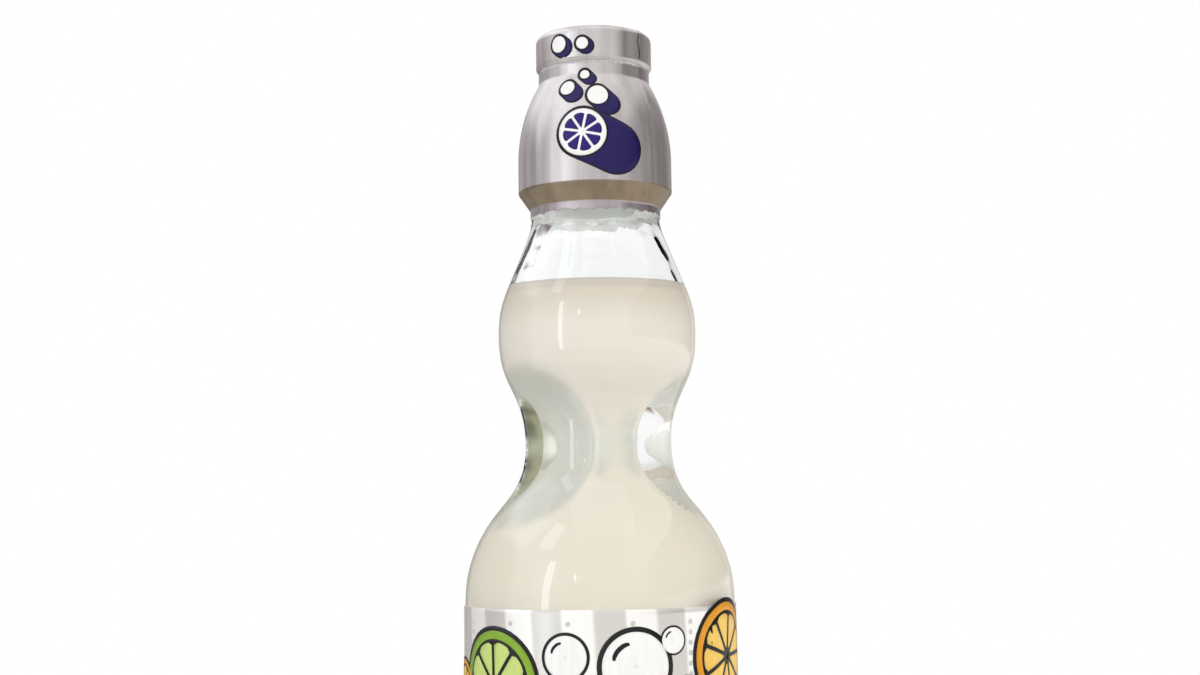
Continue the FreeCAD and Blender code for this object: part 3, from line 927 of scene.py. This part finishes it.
def print_seal(film):
    """Bubbles like those below, and a dark line painted along the film's seam as its shade."""
    black, dark, rim, white = (Ink(film, layer) for layer in range(4))
    lay_shaded_bubbles(black, dark, rim, white, SEAL_BUBBLES, SEAL_SHIFT_SHARES)
    middle = (film.low + film.high) / 2
    line = crease(CREASE_WIDTH, CREASE_HEIGHT_SHARE * (film.high - film.low))
    # painted shade: a black line along the seam's crease, in the same ink as the printed edges
    black.lay((SEAM_ANGLE - FRONT_ANGLE, middle), line, CREASE_GRID, False)
    black.finish("seal_print_edge_and_seam_shade", ink_material("seal_edge_and_seam_shade", INK_BLACK), "seal", "silver_film")
    dark.finish("seal_print_dark", ink_material("seal_indigo", INDIGO), "seal", "silver_film")
    rim.finish("seal_print_rim", ink_material("seal_rim", INK_BLACK), "seal", "silver_film")
    white.finish("seal_print_white", ink_material("seal_pearl", INK_WHITE), "seal", "silver_film")


def print_label(film):
    """Citrus wheels and bubbles all round a field of soft stripes with rows of dots."""
    inks = {name: Ink(film, layer) for name, layer in (
        ("dots", 0), ("outline", 1), ("lime_rind", 2), ("amber_rind", 2), ("white", 2), ("ring", 3),
        ("lime", 4), ("amber", 4))}
    outline = (inks["outline"], inks["ring"])
    for wheels, rind, flesh in ((LIME_WHEELS, "lime_rind", "lime"), (AMBER_WHEELS, "amber_rind", "amber")):
        for spot, radius in map(place_of, wheels):
            lay_citrus(outline, (inks[rind], inks[flesh]), spot, radius)
    for spot, radius in map(place_of, LABEL_BUBBLES):
        lay_bubble(outline, inks["white"], spot, radius)
    rows = np.arange(film.low + DOT_LOW, film.high - DOT_HIGH, DOT_PITCH)
    for column in range(LABEL_STRIPES):
        turn = 2 * math.pi * (column + 0.5) / LABEL_STRIPES
        for height in rows:
            inks["dots"].lay((turn, height), disc(DOT_RADIUS), DOT_GRID)
    looks = {
        "dots": DOT_GREY, "outline": INK_BLACK, "ring": INK_BLACK, "white": INK_WHITE,
        "lime_rind": LIME, "lime": LIME_PALE, "amber_rind": AMBER, "amber": AMBER_PALE}
    for name, colour in looks.items():
        inks[name].finish(f"label_print_{name}", ink_material(name, colour), "bottle", "label_film")


def make_body_label():
    film = Film("body_label", LABEL_PLEAT)
    rows = np.linspace(film.low, film.high + LABEL_CREEP, LABEL_ROWS)
    heights = np.tile(rows[:, None], (1, len(FILM_ANGLES)))
    angles = np.tile(FILM_ANGLES, (len(rows), 1))
    outer = film.points(angles, heights, 0)
    inner = film.points(angles, heights, -FILM_GAUGE)
    rings = np.concatenate([outer, inner[::-1]])
    piece = lathe("body_label_shrunk", rings, True, label_material(), "bottle")
    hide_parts("body_label")
    return film


# stage


WORLD_STRENGTH = 0.83
FLOOR_RADIUS = 0.6
FLOOR_STEPS = 64
FLOOR_FADE = (0.16, 0.58)
EVEN_CORE_SHARES = (0.55, 0.55)
WIDE_CORE_SHARES = (0.20, 0.80)

# azimuth from the camera in degrees, distance, height, size, power, colour and the height aimed at
LAMPS = {
    "strip_left": (-46, 0.9, 0.25, (0.10, 0.70), 0.82, COOL_LAMP, 0.14),
    "window_left": (-19, 0.9, 0.42, (0.022, 0.07), 0.06, COOL_LAMP, 0.14),
    "high_left": (-60, 0.9, 1.1, (0.25, 0.50), 0.70, COOL_LAMP, 0.18),
    "overhead": (10, 0.25, 1.0, (0.7, 0.7), 0.8, WHITE_LAMP, 0.10),
    "window_right": (133, 0.9, 1.07, (0.05, 0.08), 0.10, WHITE_LAMP, 0.10),
    "fill_right": (85, 0.9, 0.12, (0.6, 0.2), 1.5, WHITE_LAMP, 0.08),
    "low_front": (6, 0.7, 0.05, (0.4, 0.06), 0.75, WHITE_LAMP, 0.125),
}
UNMIRRORED_LAMPS = ("fill_right", "low_front")

# azimuth from the camera in degrees, distance, height, size, shares of it at full strength, colour
# and the rays that see it
CARDS = {
    "shade_left": (-115, 0.5, 0.16, (0.80, 0.60), EVEN_CORE_SHARES, (0.38, 0.35, 0.36), "reflections"),
    "glow_left": (-110, 0.6, 0.80, (1.00, 0.80), EVEN_CORE_SHARES, (1.85, 1.92, 2.00), "reflections"),
    "shade_right": (100, 0.5, 0.36, (2.20, 0.50), WIDE_CORE_SHARES, (0.03, 0.025, 0.02), "reflections"),
    "edge_left": (-160, 0.6, 0.16, (0.36, 0.70), EVEN_CORE_SHARES, (0.25, 0.24, 0.22), "reflections"),
    "edge_right": (160, 0.6, 0.16, (0.36, 0.70), EVEN_CORE_SHARES, (0.52, 0.50, 0.46), "reflections"),
    "plum_left": (-150, 0.5, 0.62, (0.26, 0.54), EVEN_CORE_SHARES, (0.20, 0.13, 0.14), "glass"),
}


def make_world():
    world = bpy.data.worlds.new("white_studio")
    bpy.context.scene.world = world
    world.use_nodes = True
    nodes, links = world.node_tree.nodes, world.node_tree.links
    seen = nodes["Background"]
    seen.inputs["Color"].default_value = (1, 1, 1, 1)
    soft = nodes.new("ShaderNodeBackground")
    soft.inputs["Color"].default_value = SOFT_WORLD
    soft.inputs["Strength"].default_value = WORLD_STRENGTH
    path = nodes.new("ShaderNodeLightPath")
    share = path.outputs["Is Camera Ray"]
    for ray in ("Is Glossy Ray", "Is Transmission Ray"):
        either = nodes.new("ShaderNodeMath")
        either.operation = "MAXIMUM"
        links.new(share, either.inputs[0])
        links.new(path.outputs[ray], either.inputs[1])
        share = either.outputs[0]
    mixer = nodes.new("ShaderNodeMixShader")
    links.new(share, mixer.inputs[0])
    links.new(soft.outputs[0], mixer.inputs[1])
    links.new(seen.outputs[0], mixer.inputs[2])
    links.new(mixer.outputs[0], nodes["World Output"].inputs["Surface"])


def around(azimuth, distance, height):
    """A point at an azimuth from the photograph's camera, positive to the right."""
    turn = CAMERA_AZIMUTH + math.radians(azimuth)
    return Vector((math.sin(turn) * distance, -math.cos(turn) * distance, height))


def facing(spot, target):
    return (target - spot).to_track_quat("-Z", "Y").to_euler()


def add_lamp(name, azimuth, distance, height, size, power, colour, target_height):
    lamp = bpy.data.lights.new(name, "AREA")
    lamp.shape = "RECTANGLE"
    lamp.size, lamp.size_y = size
    lamp.energy = power
    lamp.color = colour
    placed = bpy.data.objects.new(name, lamp)
    placed.location = around(azimuth, distance, height)
    placed.rotation_euler = facing(placed.location, Vector((0, 0, target_height)))
    placed.visible_camera = False
    placed.visible_glossy = name not in UNMIRRORED_LAMPS
    bpy.context.scene.collection.objects.link(placed)


def add_card(name, azimuth, distance, height, size, core_shares, colour, seen_by):
    """A soft-edged panel that only reflections, or only rays through glass, see."""
    mesh = bpy.data.meshes.new(name)
    wide, tall = size[0] / 2, size[1] / 2
    corners = [(-wide, -tall, 0), (wide, -tall, 0), (wide, tall, 0), (-wide, tall, 0)]
    mesh.from_pydata(corners, [], [(0, 1, 2, 3)])
    graph = Graph(name)
    glow = graph.add("ShaderNodeEmission", {"Color": (*colour, 1)}).outputs[0]
    spot = graph.add("ShaderNodeSeparateXYZ", {0: graph.add("ShaderNodeTexCoord").outputs["Object"]})
    fades = [
        graph.span(graph.math("ABSOLUTE", spot.outputs[axis]), core_shares[axis] * half, half, 1.0, 0.0)
        for axis, half in enumerate((wide, tall))]
    surface = graph.mixed(graph.math("MULTIPLY", *fades), graph.clear(), glow)
    graph.links.new(surface, graph.output.inputs["Surface"])
    mesh.materials.append(graph.material)
    card = bpy.data.objects.new(name, mesh)
    card.location = around(azimuth, distance, height)
    card.rotation_euler = facing(card.location, Vector((0, 0, height)))
    card.visible_camera = False
    card.visible_shadow = False
    card.visible_diffuse = False
    card.visible_glossy = seen_by == "reflections"
    card.visible_transmission = seen_by == "glass"
    bpy.context.scene.collection.objects.link(card)


def make_floor():
    angles = np.linspace(0, 2 * math.pi, FLOOR_STEPS, endpoint=False)
    points = [(FLOOR_RADIUS * math.cos(angle), FLOOR_RADIUS * math.sin(angle), 0) for angle in angles]
    mesh = bpy.data.meshes.new("floor")
    mesh.from_pydata(points, [], [tuple(range(FLOOR_STEPS))])
    graph = Graph("pale_floor", Roughness=0.7)
    grain = graph.noise((30, 30, 30))
    graph.feed("Base Color", graph.blend(grain, *FLOOR_GREYS))
    spot = graph.add("ShaderNodeTexCoord").outputs["Object"]
    away = graph.add("ShaderNodeVectorMath", {0: spot}, operation="LENGTH").outputs["Value"]
    surface = graph.mixed(graph.span(away, *FLOOR_FADE), graph.shader.outputs[0], graph.clear())
    graph.links.new(surface, graph.output.inputs["Surface"])
    mesh.materials.append(graph.material)
    floor = bpy.data.objects.new("floor", mesh)
    bpy.context.scene.collection.objects.link(floor)


def make_camera():
    data = bpy.data.cameras.new("photo_camera")
    data.sensor_width = CAMERA_SENSOR_MM
    data.lens = CAMERA_LENS_MM
    data.clip_start = CAMERA_CLIP
    camera = bpy.data.objects.new("photo_camera", data)
    turn = (Matrix.Rotation(CAMERA_AZIMUTH + CAMERA_YAW, 4, "Z")
            @ Matrix.Rotation(math.pi / 2 + CAMERA_PITCH, 4, "X") @ Matrix.Rotation(CAMERA_ROLL, 4, "Z"))
    camera.matrix_world = Matrix.Translation(around(0, CAMERA_DISTANCE, CAMERA_HEIGHT)) @ turn
    bpy.context.scene.collection.objects.link(camera)
    bpy.context.scene.camera = camera


def make_stage():
    bpy.context.scene.view_settings.view_transform = "Standard"
    make_world()
    make_camera()
    make_floor()
    for name, lamp in LAMPS.items():
        add_lamp(name, *lamp)
    for name, card in CARDS.items():
        add_card(name, *card)


def dress_nodes():
    looks = {
        "marble": marble_material(),
        "gasket_ring": rubber_material(),
        "spout_collar": plastic_material("collar_plastic", MOULDED_WHITE, 0.38),
        "breakaway_ring": plastic_material("ring_plastic", MOULDED_WHITE, 0.40),
        "plunger": plastic_material("plunger_plastic", PLUNGER_WHITE, 0.30),
    }
    for node, material in looks.items():
        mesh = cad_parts[node].data
        mesh.materials.clear()
        mesh.materials.append(material)


make_stage()
dress_nodes()
make_glass_and_drink()
film_look = film_material("silver_film", SILVER, False)
film_back = lining_material()
print_collar(make_collar_film(film_look, film_back))
print_seal(make_seal_film(film_look, film_back))
print_label(make_body_label())
